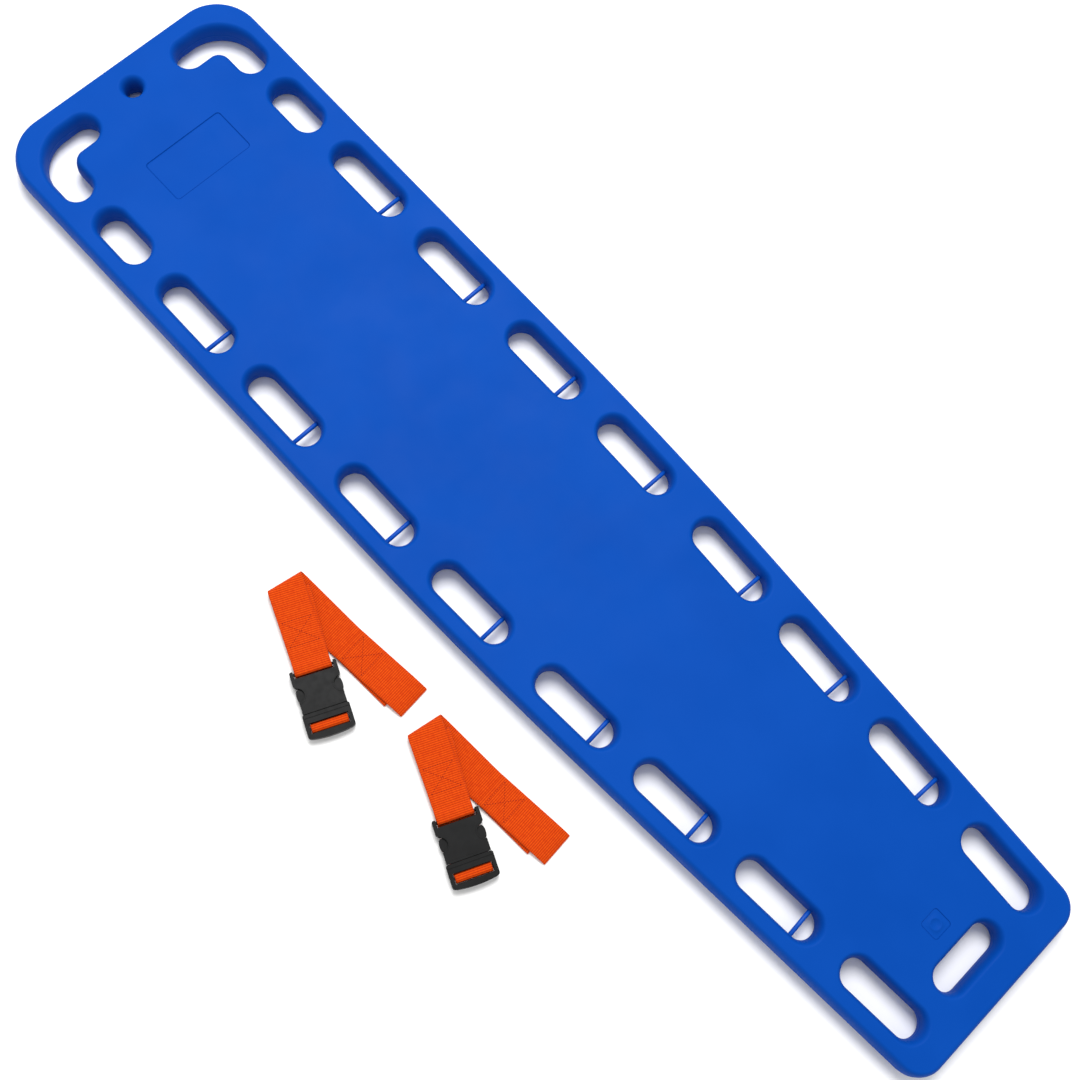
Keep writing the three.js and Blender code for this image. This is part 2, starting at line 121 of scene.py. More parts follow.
# Mid heights of each half's buckle leg: at the crease, further on, and sewn back from the bar.
FIXED_TOP, FIXED_UPPER, FIXED_RETURN = 13.5, 12.15, 10.35
ADJUST_TOP, ADJUST_UPPER = 10.6, 8.55
ADJUST_WRAP = (5.9, 3.7)  # half the loop round the adjuster bar, along and up
ADJUST_TURN = {"back": 3.4, "radius": 2.5}
STEP_START, STEP_END = 100, 118  # a free leg climbs one layer here, over the folded-back ends
FIXED_HEM = 112  # where the fixed half's folded-back end stops
FIXED_SWAY, ADJUST_SWAY = 10, 30  # each half moves sideways from here,
SWAY_MARGIN = 10  # until this far before the buckle
FIXED_STRAY = 5  # the fixed half's end strays this far sideways
STRETCH = (27, 62)  # two reaches square to the free leg from the crease's middle; add_strap makes points of them that nothing uses
PATH_STEP = 0.5
RIB_PITCH = 3.0
YARN_PITCH = 1.3
RIB_STEPS = 8  # stations along one rib
RIB_HEIGHT = 0.4
RIB_POWER = 0.6  # below 1: broad ribs with narrow grooves
SELVEDGE = 0.62  # half thickness at the webbing's edges
SELVEDGE_ANGLES = np.radians((50, 0, -50))
ACROSS_POINTS = 13  # points across each face of the webbing

STITCH = {"length": 2.2, "pitch": 3.3, "radius": 0.5, "sink": 0.06, "sides": 6}
# Sections of one stitch: share of its length, share of its radius, rise in radii.
STITCH_SECTIONS = ((0, 0.3, -0.5), (0.15, 0.9, 0), (0.5, 1, 0.35), (0.85, 0.9, 0), (1, 0.3, -0.5))
BUCKLE_LEG_PATCH = (50, 86, 21.5)  # start, end and half width
FREE_LEG_PATCH = (126, 162, 21.5)

# ---- buckle: u along it from the tips of its horns, v across it, w up ----
BUCKLE = {"length": 98, "half": 33, "height": 14, "floor": 2.2}
HORN = {"inner": 28.2, "end": 20, "step": 2}
SOCKET = {"plate": 10.5, "cavity": 16, "end": 60.5, "half": 27.5, "wall": 3, "corner": 1.5}
WINDOW = {"start": 23, "end": 44, "reach": 12}
WINDOW_MIDDLE = (WINDOW["start"] + WINDOW["end"]) / 2
WINDOW_SEMI = (WINDOW["end"] - WINDOW["start"]) / 2
BAR = {"u": 3.75, "w": 6.65, "radius": 2.25, "root": 0.6}
TONGUE = {"start": 61, "window": 74, "window_end": 88.5, "half": 27.5, "low": 1, "high": 13}
TONGUE_END = {"bow": 3, "fall": 1.1, "points": 15, "gap": 1.5}
TONGUE_CORNER = {"radius": 4, "end": -0.15, "steps": 6}
TONGUE_ROOT = 1  # how far its bar and guide run into its body
TONGUE_GROOVE = {"start": 66.2, "end": 67.8, "depth": 1}
ADJUSTER = {"start": 79.2, "end": 83, "low": 3.6, "high": 8.6}
GUIDE = {"tip": 30, "half": 6, "low": 4, "high": 10}
ARM = {"pivot_u": 63, "pivot_v": 16, "knuckle": 2.6, "half": 2, "low": 3.8, "high": 10.2}
PAD = {"start": 25.5, "end": 43.6, "inner": 17, "shoulder": 29, "outer": 32.6, "corner": 2}
LIP = {"start": 57.3, "height": 0.5, "root": 1}
BRIM = {"gap": 0.5, "width": 1.5, "inset": 0.4, "height": 0.6, "root": 1}
ROUNDING = {"body": 0.6, "arm": 0.5, "segments": 3, "angle": math.radians(35)}
ELLIPSE_STEPS = 40
DISC_STEPS = 24


# ==== meshes ====
class Skin:
    """Gathers the points and faces of one mesh."""

    def __init__(self):
        self.points = []
        self.faces = []

    def ring(self, plan, height):
        """Adds the points of a plan curve at one height."""
        first = len(self.points)
        self.points += [(x, y, height) for x, y in plan]
        return list(range(first, len(self.points)))

    def join(self, rings, inward=False):
        """Walls between one ring and the next, facing away from the curve's inside."""
        for a, b in zip(rings, rings[1:]):
            for i in range(len(a)):
                j = (i + 1) % len(a)
                quad = (a[i], b[i], b[j], a[j])
                self.faces.append(quad[::-1] if inward else quad)

    def flat(self, outer, holes=(), down=False):
        """A level face inside one ring and outside the others."""
        rings = [outer, *holes]
        index = [i for ring in rings for i in ring]
        plan = [Vector(self.points[i][:2]) for i in index]
        edges = []
        for ring in rings:
            first = len(edges)
            edges += [(first + i, first + (i + 1) % len(ring)) for i in range(len(ring))]
        corners, _, triangles, origin, _, _ = delaunay_2d_cdt(plan, edges, [], 0, 1e-6)
        loops = [np.array([self.points[i][:2] for i in ring]) for ring in rings]
        corner = np.array([c[:] for c in corners])
        middles = corner[np.array(triangles)].mean(axis=1)
        keep = inside(middles, loops[0])
        for loop in loops[1:]:
            keep &= ~inside(middles, loop)
        for triangle in np.array(triangles)[keep]:
            a, b, c = (corner[k] for k in triangle)
            left = (b[0] - a[0]) * (c[1] - a[1]) - (b[1] - a[1]) * (c[0] - a[0]) > 0
            face = [index[origin[k][0]] for k in triangle]
            self.faces.append(face if left != down else face[::-1])


def inside(points, loop):
    """Which points lie inside a closed plan curve."""
    result = np.zeros(len(points), bool)
    for (x0, y0), (x1, y1) in zip(loop, np.roll(loop, -1, axis=0)):
        crosses = (y0 > points[:, 1]) != (y1 > points[:, 1])
        if y0 != y1:
            result ^= crosses & (points[:, 0] < x0 + (points[:, 1] - y0) * (x1 - x0) / (y1 - y0))
    return result


def new_object(name, mesh):
    piece = bpy.data.objects.new(name, mesh)
    bpy.context.scene.collection.objects.link(piece)
    return piece


def mesh_piece(name, points, faces, material, node=None):
    """A smooth-shaded piece from points in millimetres."""
    mesh = bpy.data.meshes.new(name)
    mesh.from_pydata((np.asarray(points, float) * MM).tolist(), [], [list(f) for f in faces])
    mesh.shade_smooth()
    mesh.materials.append(material)
    piece = new_object(name, mesh)
    if node:
        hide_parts(node)
    return piece


def board_piece(name, points, faces, material, node):
    """A piece with crisp creases that stands for a node and rides on the board."""
    piece = mesh_piece(name, points, faces, material, node)
    piece.data.set_sharp_from_angle(angle=CREASE)
    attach(piece, "board")


def tube_faces(sections, sides):
    """The walls of a tube whose points are listed section by section, and its two end caps."""
    faces = []
    for i in range(sections - 1):
        for k in range(sides):
            n = (k + 1) % sides
            faces.append((i * sides + k, i * sides + n, (i + 1) * sides + n, (i + 1) * sides + k))
    return faces + [range(sides - 1, -1, -1), range((sections - 1) * sides, sections * sides)]


# ==== plan curves of the board ====
def arc(x, y, radius, start, end, steps):
    angles = np.linspace(start, end, steps + 1)
    return np.column_stack((x + radius * np.cos(angles), y + radius * np.sin(angles)))


def round_curve(x, radius):
    """A circle centred on the board's middle line."""
    return arc(x, 0, radius, 0, 4 * QUARTER, 2 * SLOT_STEPS)[:-1]


def taper(x):
    """0 before the sides bend, 1 once they run straight to the foot."""
    return np.clip((x - TAPER_START) / (TAPER_END - TAPER_START), 0, 1)


def half_width(x):
    """From the middle line to the side edge."""
    bend = TAPER_SLOPE * (TAPER_END - TAPER_START) / 2 * taper(x) ** 2
    return HALF_WIDTH - bend - np.maximum(x - TAPER_END, 0) * TAPER_SLOPE


def side_angle(x):
    """The heading of the +Y side."""
    return -np.arctan(TAPER_SLOPE * taper(x))


def board_side(inset):
    """The bent part of the +Y side, from foot to head. Beyond both ends it is straight."""
    x = np.linspace(TAPER_END, TAPER_START, SIDE_STEPS + 1)
    angle = side_angle(x)
    return np.column_stack((x + inset * np.sin(angle), half_width(x) - inset * np.cos(angle)))


def outline(inset):
    """The board's outline, anticlockwise, moved inwards by inset."""
    slant = math.atan(TAPER_SLOPE)
    foot_x = LENGTH / 2 - FOOT_RADIUS
    foot_y = float(half_width(foot_x)) - FOOT_RADIUS / math.cos(slant)
    head_x = -LENGTH / 2 + HEAD_RADIUS
    head_y = HALF_WIDTH - HEAD_RADIUS
    foot = arc(foot_x, foot_y, FOOT_RADIUS - inset, 0, QUARTER - slant, ARC_STEPS)
    head = arc(head_x, head_y, HEAD_RADIUS - inset, QUARTER, math.pi, ARC_STEPS)
    left = np.concatenate((foot, board_side(inset), head))
    return np.concatenate((left, left[::-1] * (1, -1)))


def slot_curve(x, y, angle, length, radius, grow):
    """A slot with round ends, grown on every side by grow."""
    half = length / 2 - radius
    dx, dy = math.cos(angle) * half, math.sin(angle) * half
    first = arc(x + dx, y + dy, radius + grow, angle - QUARTER, angle + QUARTER, SLOT_STEPS)
    last = arc(x - dx, y - dy, radius + grow, angle + QUARTER, angle + 3 * QUARTER, SLOT_STEPS)
    return np.concatenate((first, last))


def corner_curve(side, grow):
    """The L-shaped hand hole in a head corner, with side 1 or -1."""
    radius = CORNER["radius"] + grow
    bend, leg = CORNER["bend"], CORNER["leg"]
    x, y = CORNER["x"] + bend, CORNER["y"] - bend
    parts = (
        arc(CORNER["x"], y - leg, radius, math.pi, 2 * math.pi, SLOT_STEPS),
        arc(x, y, bend - radius, math.pi, QUARTER, SLOT_STEPS),
        arc(x + leg, CORNER["y"], radius, -QUARTER, QUARTER, SLOT_STEPS),
        arc(x, y, bend + radius, QUARTER, math.pi, SLOT_STEPS),
    )
    curve = np.concatenate(parts)
    return curve if side > 0 else curve[::-1] * (1, -1)


def hand_slots():
    """The side hand slots from head to foot, +Y before -Y at each station."""
    stations = [(SHORT_SLOT["x"], SHORT_SLOT["length"])]
    stations += [(x, PIN_SLOT_LENGTH) for x in PIN_SLOT_X]
    stations += [(END_SLOT["x"], END_SLOT["length"])]
    for x, length in stations:
        for side in (1, -1):
            y = side * (float(half_width(x)) - SLOT_INSET)
            yield {"x": x, "y": y, "angle": side * float(side_angle(x)), "length": length}


def hole_curves(grow):
    """Every hand hole, anticlockwise, grown by grow."""
    curves = [
        slot_curve(slot["x"], slot["y"], slot["angle"], slot["length"], SLOT_RADIUS, grow)
        for slot in hand_slots()
    ]
    foot = FOOT_SLOT
    curves.append(slot_curve(foot["x"], 0, QUARTER, foot["length"], foot["radius"], grow))
    curves.append(round_curve(HEAD_HOLE["x"], HEAD_HOLE["radius"] + grow))
    return curves + [corner_curve(1, grow), corner_curve(-1, grow)]


def rim_profile():
    """(inset, height) from the top face down round a rim to the bottom face."""
    rise = (THICKNESS - WAIST) / 2
    upper = [(EDGE_ROUND + FLAT_MARGIN, THICKNESS)]
    for step in range(RIM_STEPS + 1):
        lean = QUARTER * step / RIM_STEPS
        turn = math.atan2(EDGE_ROUND * math.sin(lean), rise * math.cos(lean))
        upper.append((EDGE_ROUND * (1 - math.sin(turn)), THICKNESS - rise * (1 - math.cos(turn))))
    middle = THICKNESS / 2
    upper.append((0, middle + PART_LINE["foot"]))
    upper.append((-PART_LINE["proud"], middle + PART_LINE["half"]))
    return upper + [(inset, THICKNESS - height) for inset, height in reversed(upper)]


# ==== board ====
def rounded_rectangle(panel, inset):
    """A panel's outline, anticlockwise, moved inwards by inset."""
    radius = panel["radius"] - inset
    hx = panel["size_x"] / 2 - panel["radius"]
    hy = panel["size_y"] / 2 - panel["radius"]
    corners = ((1, 1), (-1, 1), (-1, -1), (1, -1))
    parts = [
        arc(panel["x"] + sx * hx, sy * hy, radius, k * QUARTER, (k + 1) * QUARTER, ARC_STEPS // 2)
        for k, (sx, sy) in enumerate(corners)
    ]
    return np.concatenate(parts)


def circles(skin, x, profile):
    """Round rings on the board's middle line, from (radius, height) pairs."""
    return [skin.ring(round_curve(x, radius), height) for radius, height in profile]


def add_panel(skin, panel):
    """A shallow recess with a fine groove round its floor. Returns its outer and inner rings."""
    rings = []
    for inset, sunk in PANEL_SECTION:
        plan = rounded_rectangle(panel, inset * panel["slope"])
        rings.append(skin.ring(plan, THICKNESS - sunk * panel["depth"]))
    skin.join(rings, inward=True)
    return rings[0], rings[-1]


def add_raised_ring(skin, panel, ring, toe):
    """A recess's floor, inside its ring toe, with a plain raised ring on it."""
    floor = THICKNESS - panel["depth"]
    top = floor + ring["height"]
    outer, inner, slope = ring["outer"], ring["inner"], ring["slope"]
    profile = ((outer, floor), (outer - slope, top), (inner + slope, top), (inner, floor))
    outer_foot, outer_top, inner_top, inner_foot = circles(skin, panel["x"], profile)
    skin.flat(toe, [outer_foot])
    skin.join([outer_top, outer_foot])
    skin.flat(outer_top, [inner_top])
    skin.join([inner_top, inner_foot], inward=True)
    skin.flat(inner_foot)


def add_port(skin, x):
    """A stepped hole through the bottom wall to the foam. Returns its lowest and highest rings."""
    head, hole, depth = PORT["head"], PORT["hole"], PORT["head_depth"]
    profile = ((head, 0), (head, depth), (hole, depth), (hole, SKIN))
    brim, seat, neck, inner = circles(skin, x, profile)
    skin.join([seat, brim], inward=True)
    skin.flat(seat, [neck], down=True)
    skin.join([inner, neck], inward=True)
    return brim, inner


def board_shell(material):
    """The moulded shell: its outer skin, and the hollow that the foam fills."""
    skin = Skin()
    profile = rim_profile()
    outer = [skin.ring(outline(inset), height) for inset, height in profile]
    skin.join(outer)
    holes = []
    for curves in zip(*[hole_curves(inset) for inset, _ in profile]):
        holes.append([skin.ring(curve, height) for curve, (_, height) in zip(curves, profile)])
        skin.join(holes[-1], inward=True)
    label_brim, label_toe = add_panel(skin, LABEL_PANEL)
    skin.flat(label_toe)
    mark_brim, mark_toe = add_panel(skin, MARK_PANEL)
    add_raised_ring(skin, MARK_PANEL, MARK_RING, mark_toe)
    ports = [add_port(skin, PORT["x"]), add_port(skin, -PORT["x"])]
    skin.flat(outer[0], [hole[0] for hole in holes] + [label_brim, mark_brim])
    under = [hole[-1] for hole in holes] + [brim for brim, _ in ports]
    skin.flat(outer[-1], under, down=True)

    roof, floor = THICKNESS - SKIN, SKIN
    hollow = [skin.ring(outline(WALL), height) for height in (roof, floor)]
    skin.join(hollow, inward=True)
    posts = []
    for curve in hole_curves(WALL):
        posts.append([skin.ring(curve, height) for height in (roof, floor)])
        skin.join(posts[-1])
    skin.flat(hollow[0], [post[0] for post in posts], down=True)
    skin.flat(hollow[1], [post[1] for post in posts] + [inner for _, inner in ports])

    board_piece("board_skin", skin.points, skin.faces, material, "board_shell")


def spokes(across, up, sides):
    """Directions evenly round a circle, from two square to each other."""
    angles = [2 * math.pi * k / sides for k in range(sides)]
    return [across * math.cos(a) + up * math.sin(a) for a in angles]


def lathe(profile, centre, axis, sides):
    """Turns (radius, along) points round an axis through a centre, and closes both ends."""
    axis = Vector(axis).normalized()
    across = axis.orthogonal().normalized()
    turn = spokes(across, axis.cross(across), sides)
    points = []
    for radius, along in profile:
        points += [Vector(centre) + axis * along + spoke * radius for spoke in turn]
    return points, tube_faces(len(profile), sides)


def pin(slot, number, material):
    """A strap pin: a straight rod across its slot, with a slight chamfer at each buried end."""
    side = "left" if slot["y"] > 0 else "right"
    half = SLOT_RADIUS + PIN_SEAT
    end = ((PIN_RADIUS, half - PIN_CHAMFER), (PIN_RADIUS - PIN_CHAMFER, half))
    profile = [(radius, -along) for radius, along in reversed(end)] + list(end)
    dx, dy = math.cos(slot["angle"]), math.sin(slot["angle"])
    centre = (slot["x"] + dx * PIN_OFFSET, slot["y"] + dy * PIN_OFFSET, THICKNESS / 2)
    points, faces = lathe(profile, centre, (-dy, dx, 0), PIN_SIDES)
    node = f"pin_{side}_{number}"
    board_piece(f"{node}_rod", points, faces, material, node)


def port_plug(name, x, material):
    """A stepped plug with a dished face that points down."""
    head = PORT["head"] - GAP
    neck = PORT["hole"] - GAP
    shoulder = PORT["head_depth"] - GAP
    chamfer = PLUG["chamfer"]
    profile = (
        *PLUG["dish"], (head - chamfer, PLUG["face"]), (head, PLUG["rim"]),
        (head, shoulder), (neck, shoulder), (neck, SKIN - chamfer), (neck - chamfer, SKIN),
    )
    points, faces = lathe(profile, (x, 0, 0), (0, 0, 1), 2 * SLOT_STEPS)
    board_piece(f"{name}_disc", points, faces, material, name)


def add_board(board_material, pin_material, foam_material):
    board_shell(board_material)
    pin_slots = [slot for slot in hand_slots() if slot["length"] == PIN_SLOT_LENGTH]
    for index, slot in enumerate(pin_slots):
        pin(slot, index // 2 + 1, pin_material)
    port_plug("port_plug_foot", PORT["x"], board_material)
    port_plug("port_plug_head", -PORT["x"], board_material)
    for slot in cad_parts["foam_core"].material_slots:
        slot.material = foam_material


# ==== webbing ====
def distances(path):
    """How far along a line each of its points lies."""
    return np.concatenate(([0], np.cumsum(np.hypot(*np.diff(path, axis=0).T))))


def smooth_path(points, spread):
    """Resamples a line of (x, z) points evenly and rounds its corners over a distance."""
    points = np.array(points, float)
    lengths = distances(points)
    along = np.linspace(0, lengths[-1], int(lengths[-1] / PATH_STEP) + 1)
    path = np.column_stack([np.interp(along, lengths, points[:, k]) for k in (0, 1)])
    reach = int(spread / PATH_STEP)
    weights = np.hanning(2 * reach + 3)[1:-1]
    weights /= weights.sum()
    before = path[0] - (path[1] - path[0]) * np.arange(reach, 0, -1)[:, None]
    after = path[-1] + (path[-1] - path[-2]) * np.arange(1, reach + 1)[:, None]
    padded = np.concatenate((before, path, after))
    return np.column_stack([np.convolve(padded[:, k], weights, "valid") for k in (0, 1)])


def turned_back(path, offset, back_to, steps=8):
    """Folds the end of a path back: a half turn, and a second run beside it as far as back_to."""
    ahead = np.gradient(path, axis=0)
    ahead /= np.hypot(*ahead.T)[:, None]
    normals = np.column_stack((-ahead[:, 1], ahead[:, 0]))
    angles = np.linspace(-QUARTER, QUARTER, steps + 1)[1:-1]
    forward = np.outer(np.cos(angles), ahead[-1]) * abs(offset) / 2
    upward = np.outer(1 + np.sin(angles), normals[-1]) * offset / 2
    second = (path + normals * offset)[::-1]
    return np.concatenate((path, path[-1] + forward + upward, second[second[:, 0] > back_to]))


def path_arc(x, z, radius_x, radius_z, start, end, steps=12):
    """(x, z) points over part of an ellipse, from one angle in degrees to another."""
    angles = np.radians(np.linspace(start, end, steps + 1))
    return [(x + radius_x * math.cos(a), z + radius_z * math.sin(a)) for a in angles]


def rotated(x, y, angle):
    cos, sin = math.cos(angle), math.sin(angle)
    return x * cos - y * sin, x * sin + y * cos


def leg_start(fold, low, high):
    """How far along either leg's line its straight run begins."""
    bend = (high - low) / 2 * QUARTER / math.cos(FOLD_ANGLE)
    return fold * math.cos(FOLD_ANGLE) + bend * math.sin(FOLD_ANGLE) ** 2


class Webbing:
    """A flat band folded once on a slant, with the buckle leg above and the free leg below.

    upper and lower are the legs' paths, as (distance from the crease, mid height). sway says,
    for each leg, where it starts and ends its sideways move, and how far aside it then lies.
    """

    def __init__(self, place, fold, low, high, upper, lower, sway):
        self.place = place
        self.fold = fold
        self.low = low
        self.radius = (high - low) / 2
        self.legs = {1: (upper, distances(upper)), -1: (lower, distances(lower))}
        self.sway = sway
        self.bend = self.radius * QUARTER / math.cos(FOLD_ANGLE)
        self.shift = (fold - self.bend * math.cos(FOLD_ANGLE)) * math.sin(FOLD_ANGLE)

    def ends(self):
        """The band's two ends, as distances along it from the crease."""
        return self.bend + self.legs[1][1][-1], -self.bend - self.legs[-1][1][-1]

    def leg(self, s, v, side):
        """Places points of one leg, side 1 for the upper and -1 for the lower."""
        path, lengths = self.legs[side]
        t = np.abs(s) - self.bend
        x = np.interp(t, lengths, path[:, 0]) + np.minimum(t, 0)
        z = np.interp(t, lengths, path[:, 1])
        begin, end, far = self.sway[side]
        share = np.clip((x - begin) / (end - begin), 0, 1)
        across = v + side * self.shift * (1 - share) + far * share
        return (*rotated(x, across, -side * FOLD_ANGLE), z)

    def surface(self, s, v):
        """The middle of the band's thickness, for arrays of s along it and v across it."""
        depth = s * math.cos(FOLD_ANGLE) + v * math.sin(FOLD_ANGLE)
        turn = np.clip(depth / self.radius, -QUARTER, QUARTER)
        rolled = (
            self.fold - self.radius * np.cos(turn),
            v * math.cos(FOLD_ANGLE) - s * math.sin(FOLD_ANGLE),
            self.low + self.radius * (1 + np.sin(turn)),
        )
        on_upper, on_lower = turn >= QUARTER, turn <= -QUARTER
        out, along, z = (
            np.where(on_upper, up, np.where(on_lower, down, roll))
            for up, down, roll in zip(self.leg(s, v, 1), self.leg(s, v, -1), rolled)
        )
        x, y = rotated(out, along, WAY_OUT)
        return np.stack((self.place[0] + x, self.place[1] + y, z), axis=-1)

    def grid(self, s, v):
        """Points, normals and crosswise directions over a grid of s and v."""
        middle = self.surface(*np.meshgrid(s, v, indexing="ij"))
        lengthwise = np.gradient(middle, axis=0)
        crosswise = np.gradient(middle, axis=1)
        crosswise /= np.linalg.norm(crosswise, axis=2, keepdims=True)
        normals = np.cross(lengthwise, crosswise)
        normals /= np.linalg.norm(normals, axis=2, keepdims=True)
        return middle, normals, crosswise


def webbing_mesh(name, band, material, node):
    """Sweeps the webbing's section along the band, with cross ribs and rounded selvedges."""
    end, start = band.ends()
    count = int((end - start) / RIB_PITCH * RIB_STEPS)
    s = np.linspace(start, end, count)
    v = np.linspace(-WEB_HALF + SELVEDGE, WEB_HALF - SELVEDGE, ACROSS_POINTS)
    middle, normals, crosswise = band.grid(s, v)
    ribs = np.abs(np.sin(math.pi * s / RIB_PITCH)) ** RIB_POWER
    half = (WEB / 2 - RIB_HEIGHT / 2 + RIB_HEIGHT * ribs)[:, None, None]
    outer = middle + normals * half
    inner = middle - normals * half

    def selvedge(column, side):
        turns = SELVEDGE_ANGLES * -side
        out = crosswise[:, column] * side
        up = normals[:, column]
        rim = [out * math.cos(a) + up * math.sin(a) for a in turns]
        return [middle[:, column] + SELVEDGE * spoke for spoke in rim]

    columns = [outer[:, k] for k in range(len(v) - 1, -1, -1)] + selvedge(0, -1)
    columns += [inner[:, k] for k in range(len(v))] + selvedge(-1, 1)
    edge = [WEB_HALF] * len(SELVEDGE_ANGLES)
    across = np.concatenate((v[::-1], np.negative(edge), v, edge))
    points = np.stack(columns, axis=1)
    faces = tube_faces(count, len(across))
    piece = mesh_piece(name, points.reshape(-1, 3), faces, material, node)
    weave = piece.data.attributes.new("weave", "FLOAT_VECTOR", "POINT")
    place = np.stack(np.broadcast_arrays(s[:, None], across[None, :], 0.0), axis=-1)
    weave.data.foreach_set("vector", (place.reshape(-1) * MM).astype(np.float32))
    return piece


def fixed_band(place):
    """Sewn round the socket's bar, up to the crease, over it and out along the free leg."""
    low, high = GROUND_LAYER, FIXED_TOP
    over, back = FIXED_UPPER, FIXED_RETURN
    start = leg_start(0, low, high)
    bar_x, bar_z = LEFT_LEG + BAR["u"], BUCKLE["floor"] + BAR["w"]
    wrap = BAR["radius"] + GAP + WEB / 2
    upper = [(start, high), (18, high), (46, over), (98, over - 0.2)]
    upper += [(109, over - 0.7), (114, over + 0.5), (117, over + 0.6)]
    upper += path_arc(bar_x, bar_z, wrap, wrap, 90, -108)
    upper += [(bar_x - 14, back - 0.6), (98, back - 0.2), (46, back)]
    end = RIGHT_LEG - FIXED_SHORT - LAYER / 2 - WEB / 2
    lower = [(start, low), (STEP_START, low), (STEP_END, low + LAYER), (end, low + LAYER)]
    lower = turned_back(smooth_path(lower, spread=6), -LAYER, FIXED_HEM)
    sway = {
        1: (FIXED_SWAY, LEFT_LEG - SWAY_MARGIN, 0),
        -1: (FIXED_SWAY, RIGHT_LEG - FIXED_SHORT, -FIXED_STRAY),
    }
    return Webbing(place, 0, low, high, smooth_path(upper, spread=1.6), lower, sway)


def adjustable_band(place):
    """Over the crease from under the buckle, where it turns up round the tongue's adjuster bar."""
    low, high = GROUND_LAYER + LAYER, ADJUST_TOP
    over = ADJUST_UPPER
    start = leg_start(INNER_FOLD, low, high)
    floor, turn = BUCKLE["floor"], ADJUST_TURN["radius"]
    bar_x = LEFT_LEG + (ADJUSTER["start"] + ADJUSTER["end"]) / 2
    bar_z = floor + (ADJUSTER["low"] + ADJUSTER["high"]) / 2
    bend_x = bar_x + ADJUST_TURN["back"]
    upper = [(start, high), (30, high - 0.1), (48, over), (99, over), (104, 7.6), (117, 1.7)]
    upper += [(121, GROUND_LAYER), (bend_x, GROUND_LAYER)]
    upper += path_arc(bend_x, GROUND_LAYER + turn, turn, turn, -75, 0, 5)
    upper += path_arc(bar_x, bar_z, *ADJUST_WRAP, 0, 180)
    upper += [(bar_x - ADJUST_WRAP[0], floor + 2.6)]
    lower = [(start, low), (STEP_START, low), (STEP_END, low + LAYER), (150, low + LAYER)]
    lower += [(196, 5.6), (214, 5.9), (226, 4.9), (234, 3.3)]
    lower += [(RIGHT_LEG - LAYER / 2 - WEB / 2, 1.3)]
    lower = turned_back(smooth_path(lower, spread=8), LAYER, STEP_END)
    sway = {1: (ADJUST_SWAY, LEFT_LEG - SWAY_MARGIN, 0), -1: (ADJUST_SWAY, RIGHT_LEG, 0)}
    return Webbing(place, INNER_FOLD, low, high, smooth_path(upper, spread=1.4), lower, sway)


# ==== stitching ====
def stitch_rows(patch):
    """A row across at each end of a sewn patch, and the two diagonals between them."""
    start, end, half = patch
    return (
        ((start, -half), (start, half)), ((end, -half), (end, half)),
        ((start, -half), (end, half)), ((start, half), (end, -half)),
    )


def stitch(a, b, up):
    """A thread lying from a to b, with its ends pulled down into the cloth."""
    radius, sides = STITCH["radius"], STITCH["sides"]
    ahead = (b - a) / np.linalg.norm(b - a)
    turn = spokes(np.cross(up, ahead), up, sides)
    points = []
    for share, fat, rise in STITCH_SECTIONS:
        centre = a + (b - a) * share + up * rise * radius
        points += [centre + radius * fat * spoke for spoke in turn]
    return points, tube_faces(len(STITCH_SECTIONS), sides)


def on_face(band, s, v):
    """A point on the upper face of a band, and the face's normal there."""
    around = np.array([-0.5, 0, 0.5])
    middle, normals, _ = band.grid(s + around, v + around)
    up = normals[1, 1] if normals[1, 1][2] > 0 else -normals[1, 1]
    return middle[1, 1] + up * (WEB / 2 - STITCH["sink"]), up


def stitching(name, band, origin, patch, material, body):
    """A sewn patch. origin is the distance along the band that the patch is measured from."""
    points, faces = [], []
    for (t0, v0), (t1, v1) in stitch_rows(patch):
        run = math.hypot(t1 - t0, v1 - v0)
        count = int(run / STITCH["pitch"])
        for k in range(count):
            shares = [(k + 0.5) / count + half * STITCH["length"] / 2 / run for half in (-1, 1)]
            (a, up), (b, _) = (
                on_face(band, origin + t0 + (t1 - t0) * share, v0 + (v1 - v0) * share)
                for share in shares
            )
            thread, quads = stitch(a, b, up)
            faces += [[len(points) + i for i in quad] for quad in quads]
            points += thread
    piece = mesh_piece(name, points, faces, material)
    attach(piece, body)


# ==== buckle ====
def prism(plan, low, high):
    """A straight-sided solid, from a plan."""
    solid = bmesh.new()
    floor = [solid.verts.new((x, y, low)) for x, y in plan]
    roof = [solid.verts.new((x, y, high)) for x, y in plan]
    solid.faces.new(floor[::-1])
    solid.faces.new(roof)
    for i in range(len(plan)):
        j = (i + 1) % len(plan)
        solid.faces.new((floor[i], floor[j], roof[j], roof[i]))
    bmesh.ops.recalc_face_normals(solid, faces=solid.faces)
    return solid


def slab(u0, u1, v0, v1, low, high):
    return prism([(u0, v0), (u1, v0), (u1, v1), (u0, v1)], low, high)


def ellipse(u, v, semi_u, semi_v, steps=ELLIPSE_STEPS):
    angles = np.linspace(0, 4 * QUARTER, steps + 1)[:-1]
    return np.column_stack((u + semi_u * np.cos(angles), v + semi_v * np.sin(angles)))


def disc(u, v, radius):
    return ellipse(u, v, radius, radius, DISC_STEPS)


def rod(u, w, radius, half):
    """A round bar across the buckle."""
    solid = prism(disc(0, 0, radius), -half, half)
    turn = Matrix.Translation((u, 0, w)) @ Matrix.Rotation(QUARTER, 4, "X")
    bmesh.ops.transform(solid, matrix=turn, verts=solid.verts)
    return solid


def scratch_object(solid, place):
    """A temporary object from a solid, where the buckle lies."""
    mesh = bpy.data.meshes.new("scratch")
    solid.to_mesh(mesh)
    solid.free()
    mesh.shade_smooth()
    mesh.transform(place @ Matrix.Scale(MM, 4))
    return new_object("scratch", mesh)


